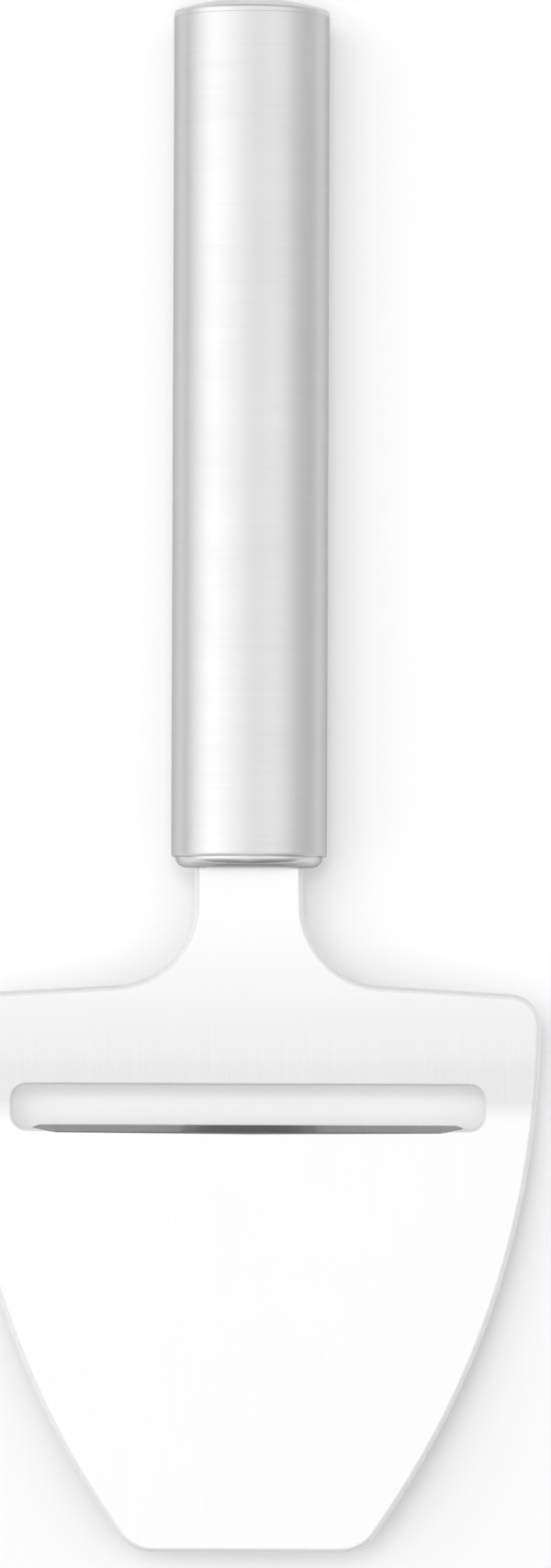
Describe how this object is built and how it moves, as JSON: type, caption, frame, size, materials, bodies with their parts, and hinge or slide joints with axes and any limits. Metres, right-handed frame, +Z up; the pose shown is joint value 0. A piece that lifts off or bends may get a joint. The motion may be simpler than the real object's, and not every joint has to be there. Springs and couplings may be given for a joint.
{
  "type": "cheese slicer",
  "caption": "Hand cheese slicer: spade-shaped sheet-steel blade with a cross slot and a ground cutting lip, on a round hollow steel handle with a domed end.",
  "frame": {"origin": "middle of the bounding box, on the table that the slicer lies on with its blade's top face up", "axes": "+Y along the tool from the blade's tip towards the handle's butt, +X across the blade, +Z up from the table"},
  "size_m": [0.0826, 0.2194, 0.022],
  "materials": {
    "blade_steel": "fine satin stainless sheet with ground edge",
    "tube_steel": "satin stainless, brushed round the tube",
    "plug_steel": "turned stainless, satin",
    "cap_steel": "pressed stainless, satin",
    "core_plastic": "moulded, matt",
    "pin_steel": "ground dowel",
    "seal_rubber": "moulded, matt"
  },
  "bodies": {
    "root": {"blade": "blade_steel", "handle_tube": "tube_steel", "front_plug": "plug_steel", "end_cap": "cap_steel", "core_upper": "core_plastic", "core_lower": "core_plastic", "tang_pin": "pin_steel", "front_seal": "seal_rubber", "end_seal": "seal_rubber"}
  },
  "joints": []
}
